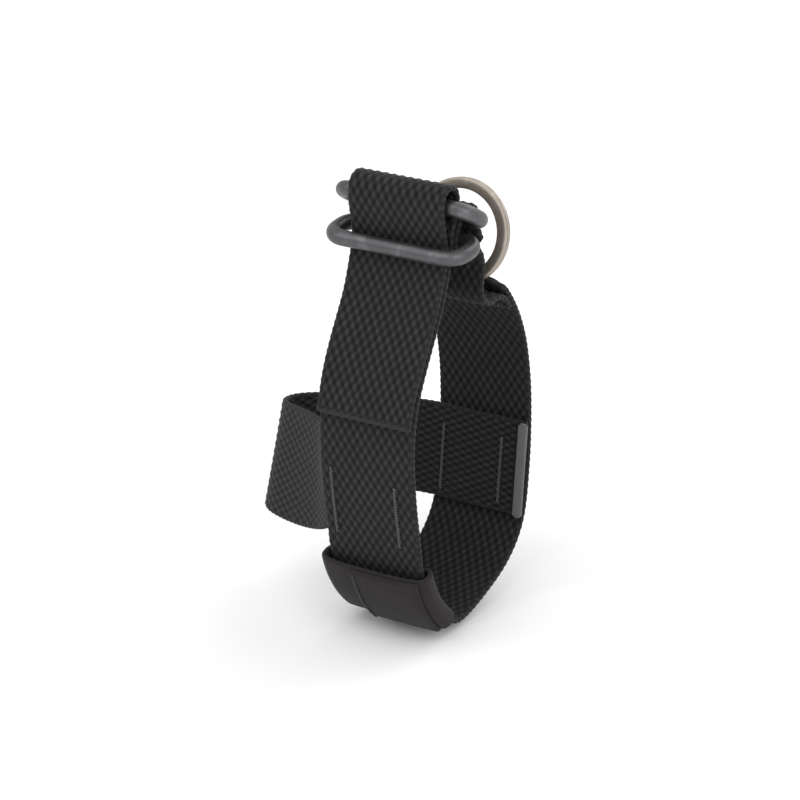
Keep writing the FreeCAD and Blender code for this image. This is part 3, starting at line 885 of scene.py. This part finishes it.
@dataclass
class Keeper:
    """The elastic keeper: a flat loop of elastic round the strap's lower front corner."""

    centre: Pair = (8.0, -24.0)
    radius: float = 29.3
    angles: Pair = (196.0, 231.0)
    wall: float = 1.1
    side_gap: float = 0.8
    inner_gap: float = 0.4
    outer_gap: float = 1.0
    lap_x: Pair = (-5.0, 12.6)
    lap_thick: float = 1.0
    rib: float = 0.85
    gape: float = 0.9
    swell: float = 0.7

    def place(self, x: Array, radius: Array, angle: Array) -> Array:
        """Turn an x, a radius and an angle round the corner's centre into points."""
        a = np.radians(angle)
        return np.stack([x, self.centre[0] + radius * np.cos(a), self.centre[1] + radius * np.sin(a)], axis=-1)

    def outline(self, half: float, low: float, high: float, corner: float) -> Array:
        """A rounded rectangle of (x, radius) points with even steps."""
        corners = [(half - corner, low + corner, -90), (half - corner, high - corner, 0),
                   (-half + corner, high - corner, 90), (-half + corner, low + corner, 180)]
        points = []
        for i, (x, r, turn) in enumerate(corners):
            points += [(x + corner * math.cos(a), r + corner * math.sin(a))
                       for a in np.radians(turn + np.linspace(0, 90, 7))]
            nx, nr, _ = corners[(i + 1) % 4]
            start = np.array(points[-1])
            a = math.radians(turn + 90)
            stop = np.array([nx + corner * math.cos(a), nr + corner * math.sin(a)])
            count = max(2, int(np.linalg.norm(stop - start) / 0.5))
            points += [tuple(start + (stop - start) * k / count) for k in range(1, count)]
        return np.array(points)

    def lift(self, arc: Array | float, total: float) -> Array | float:
        """How far the front stands off the webbing: a gaping mouth and a slack belly."""
        belly = np.sqrt(np.sin(np.pi * np.clip(arc / total, 0, 1)))
        return self.gape * np.clip(1 - arc / 8.0, 0, 1) ** 2 + self.swell * belly

    def band(self) -> Piece:
        """The loop itself, gaping a little at its upper mouth."""
        half = HALF_WEB + self.side_gap
        low, high = self.radius - 0.75 - self.inner_gap, self.radius + 0.75 + self.outer_gap
        inner = self.outline(half, low, high, 0.9)
        outer = self.outline(half + self.wall, low - self.wall, high + self.wall, 0.9 + self.wall)
        outer = outer[np.linspace(0, len(outer), len(inner), endpoint=False).round().astype(int) % len(outer)]
        angles = np.arange(self.angles[0], self.angles[1] + 0.01, 0.33)
        arc = np.radians(angles - angles[0]) * self.radius
        ribs = 0.016 * np.cos(2 * np.pi * arc / self.rib)
        ends = np.clip(np.minimum(arc, arc[-1] - arc) / 0.45, 0, 1)
        middle = (inner + outer) / 2
        around = np.concatenate([[0], np.cumsum(np.linalg.norm(np.diff(middle, axis=0), axis=1))])
        rows = {1: [], -1: []}
        masks = []
        for i, angle in enumerate(angles):
            mouth = self.lift(arc[i], arc[-1])
            wall = 0.35 + 0.65 * ends[i] ** 0.5
            for loop, sign in ((outer, 1), (inner, -1)):
                here = middle + (loop - middle) * wall * (1 + sign * ribs[i] * 0.8)
                front = np.clip((here[:, 1] - self.radius) / 1.5, 0, 1)
                bulge = mouth * front * np.clip(1 - (np.abs(here[:, 0]) / half) ** 4, 0, 1)
                rows[sign].append(self.place(here[:, 0], here[:, 1] + bulge, np.full(len(here), angle)))
            # Painted shade: the rib relief, five times over, darkens the elastic's colour in the rib grooves.
            masks.append(np.stack(np.broadcast_arrays(around, arc[i], 0.75 + 5 * ribs[i]), axis=-1))
        points = np.array(rows[1] + rows[-1][::-1])
        count, n = points.shape[:2]
        faces = [(i * n + j, i * n + (j + 1) % n, (i + 1) % count * n + (j + 1) % n, (i + 1) % count * n + j)
                 for i in range(count) for j in range(n)]
        return mesh_object("keeper_elastic", points, faces, Finish.ELASTIC.material,
                           np.array(masks + masks[::-1]))

    def lap(self) -> Piece:
        """The end of the elastic that laps over the other end."""
        low = self.radius + 0.75 + self.outer_gap + self.wall + 0.05
        xs = np.arange(self.lap_x[0], self.lap_x[1] + 0.01, 0.4)
        angles = np.arange(self.angles[0] + 0.4, self.angles[1] - 1.4, 0.33)
        arc = np.radians(angles - angles[0]) * self.radius
        edge_x = np.clip(np.minimum(xs - xs[0], xs[-1] - xs) / 0.5, 0, 1) ** 0.5
        edge_a = np.clip(np.minimum(arc, arc[-1] - arc) / 0.45, 0, 1) ** 0.5
        puff = np.outer(edge_a, edge_x)
        mouth = self.lift(arc, arc[-1])[:, None] * (1 - (np.abs(xs) / 13.0) ** 4)[None, :]
        ribs = 0.016 * np.cos(2 * np.pi * arc / self.rib)[:, None]
        top = low + mouth + self.lap_thick * (0.3 + 0.7 * puff) + ribs
        under = low + mouth + self.lap_thick * 0.28 * (1 - puff)
        grid_x, grid_a = np.meshgrid(xs, angles)
        upper, lower = self.place(grid_x, top, grid_a), self.place(grid_x, under, grid_a)
        points = np.concatenate([upper, lower[:, ::-1]], axis=1)
        # Painted shade: the rib relief, five times over, darkens the elastic's colour in the rib grooves.
        mask = np.stack(np.broadcast_arrays(grid_x, arc[:, None], 0.75 + 5 * ribs), axis=-1)
        weave = np.concatenate([mask, mask[:, ::-1]], axis=1)
        return mesh_object("keeper_overlap_end", points, loop_faces(*points.shape[:2]),
                           Finish.ELASTIC.material, weave)

    def seam(self) -> Piece:
        """The straight stitches down the edge of the overlap."""
        radius = self.radius + 0.75 + self.outer_gap + self.wall + self.lap_thick + 0.08
        angles = np.linspace(self.angles[0] + 2.5, self.angles[1] - 3.5, 30)
        arc = np.radians(angles - self.angles[0]) * self.radius
        total = math.radians(self.angles[1] - self.angles[0]) * self.radius
        line = self.place(np.full(30, self.lap_x[0] + 1.3), radius + self.lift(arc, total), angles)
        middle = math.radians(sum(self.angles) / 2)
        out = np.array([0.0, math.cos(middle), math.sin(middle)])
        return thread_along("keeper_seam", line, X_ACROSS, out, 0.0, 2.3, 0.16, Finish.DARK_THREAD)


@dataclass
class SplitRing:
    """Two turns of flat wire, leaning back from the pocket of the fold."""

    mid: float = 10.7
    radial: float = 2.5
    coil: float = 1.12
    offset: float = 0.62
    x: float = 3.0
    pivot: Pair = (8.4, 27.2)
    lean: float = 12.0
    jog_at: float = 150.0
    jog: float = 13.0

    def build(self) -> Piece:
        """Wind the wire: one turn, a short jog sideways, and the second turn."""
        turn = np.arange(self.jog, 720 - self.jog + 0.01, 1.25)
        shift = np.clip((turn - (360 - self.jog)) / (2 * self.jog), 0, 1)
        axial = self.offset * (2 * shift * shift * (3 - 2 * shift) - 1)
        angle = np.radians(turn + self.jog_at)
        local = np.stack([self.mid * np.cos(angle), axial, self.mid * np.sin(angle)], axis=1)
        radial = np.stack([np.cos(angle), 0 * angle, np.sin(angle)], axis=1)
        tilt = Matrix.Rotation(math.radians(-self.lean), 3, "X")
        rotate = np.array(tilt)
        centre = np.array([self.x, self.pivot[0], self.pivot[1]]) + rotate @ np.array([0, 0, self.mid])
        ends = np.clip(np.minimum(turn - turn[0], turn[-1] - turn) / 2.5, 0.55, 1) ** 0.5
        return sweep("split_ring_coil", local @ rotate.T + centre, superellipse(self.coil, self.radial, 3.4, 28),
                     radial @ rotate.T, Finish.SPLIT.material, ends)


# ---------------------------------------------------------------- studio

@dataclass
class Studio:
    """A pale floor, soft light and the camera."""

    azimuth: float = 32.0
    elevation: float = 22.0
    distance: float = 0.7
    lens: float = 140.2
    shift: float = -0.03125
    floor_z: float = -0.0522
    floor_tone: tuple[float, ...] = (0.93, 0.93, 0.93, 1)
    sky: float = 0.84
    lamps: tuple = (("key", (-0.35, -0.9, 1.1), 1.2, 6.5), ("fill", (1.1, -0.5, 0.7), 0.9, 5.5),
                    ("back", (0.2, 1.1, 0.9), 1.2, 6.0))

    def floor(self) -> None:
        """Lay the floor."""
        bpy.ops.mesh.primitive_plane_add(size=8.0, location=(0, 0, self.floor_z))
        plane = bpy.context.object
        plane.name = "studio_floor"
        material = bpy.data.materials.new("pale_floor")
        material.use_nodes = True
        shader = material.node_tree.nodes["Principled BSDF"]
        shader.inputs["Base Color"].default_value = self.floor_tone
        shader.inputs["Roughness"].default_value = 0.9
        shader.inputs["Specular IOR Level"].default_value = 0.1
        plane.data.materials.append(material)

    def lamp(self, name: str, place: tuple[float, float, float], size: float, watts: float) -> None:
        """Hang one soft lamp that points at the object."""
        data = bpy.data.lights.new(name, "AREA")
        data.size, data.energy = size, watts
        lamp = bpy.data.objects.new(name, data)
        lamp.location = place
        lamp.rotation_mode = "QUATERNION"
        lamp.rotation_quaternion = Vector(place).to_track_quat("Z", "Y")
        bpy.context.scene.collection.objects.link(lamp)

    def light(self) -> None:
        """Set the soft light."""
        world = bpy.data.worlds.new("studio")
        world.use_nodes = True
        world.node_tree.nodes["Background"].inputs[0].default_value = (1, 1, 1, 1)
        world.node_tree.nodes["Background"].inputs[1].default_value = self.sky
        bpy.context.scene.world = world
        for lamp in self.lamps:
            self.lamp(*lamp)
        bpy.context.scene.view_settings.view_transform = "Standard"

    def camera(self) -> None:
        """Set up the camera."""
        a, e = math.radians(self.azimuth), math.radians(self.elevation)
        back = Vector((math.sin(a) * math.cos(e), -math.cos(a) * math.cos(e), math.sin(e)))
        data = bpy.data.cameras.new("camera")
        data.lens, data.sensor_width, data.shift_x = self.lens, 36.0, self.shift
        data.clip_start, data.clip_end = 0.01, 20.0
        camera = bpy.data.objects.new("camera", data)
        camera.location = back * self.distance
        camera.rotation_mode = "QUATERNION"
        camera.rotation_quaternion = back.to_track_quat("Z", "Y")
        bpy.context.scene.collection.objects.link(camera)
        bpy.context.scene.camera = camera


# ---------------------------------------------------------------- assembly

def place(piece: Piece, body: str, slot: str, *nodes: str) -> Piece:
    """Put a piece on its body, in place of its CAD nodes, and report it."""
    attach(piece, body)
    if nodes:
        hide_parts(*nodes)
    LOG.info("%s: %d faces on %s", piece.name, len(piece.data.polygons), body)
    return piece


def dress_rings() -> None:
    """Give the two buckle rings their finish."""
    for name in ("lower_ring", "upper_ring"):
        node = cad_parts[name]
        for slot in node.material_slots:
            slot.material = Finish.BUCKLE.material
        for polygon in node.data.polygons:
            polygon.use_smooth = True
        LOG.info("%s: dressed", name)


def main() -> None:
    """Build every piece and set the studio."""
    logging.basicConfig(level=logging.INFO, format="%(message)s")
    studio = Studio()
    studio.camera()
    studio.light()
    studio.floor()
    webbing, strap, band, tail = Webbing(), MainStrap(), CrossBand(), Tail()
    keeper, sewing = Keeper(), Sewing()
    for piece in strap.build(webbing):
        place(piece, "strap", "webbing", "main_strap")
    cloth, tip = tail.build(webbing, strap.front_high)
    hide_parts("strap_tail")
    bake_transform(cloth)
    place(tip, "tail", "sealed_edge", "tail_tip")
    place(band.build(webbing, strap), "strap", "webbing", "cross_band")
    place(Hem().build(strap, band), "strap", "binding", "edge_tab")
    rows = [f"{leg}_stitches_{side}" for leg in ("front", "rear") for side in ("left", "right")]
    for piece, node in zip(sewing.front(strap) + sewing.rear(strap, band), rows):
        place(piece, "strap", "thread", node)
    place(sewing.flap(strap), "strap", DARK_SLOT, "flap_seam")
    place(keeper.band(), "keeper", "elastic", "keeper_band")
    place(keeper.lap(), "keeper", "elastic", "keeper_overlap")
    place(keeper.seam(), "keeper", DARK_SLOT, "keeper_stitches")
    place(SplitRing().build(), "split_ring", "ring_wire", "split_ring")
    dress_rings()


if __name__ == "__main__":
    main()
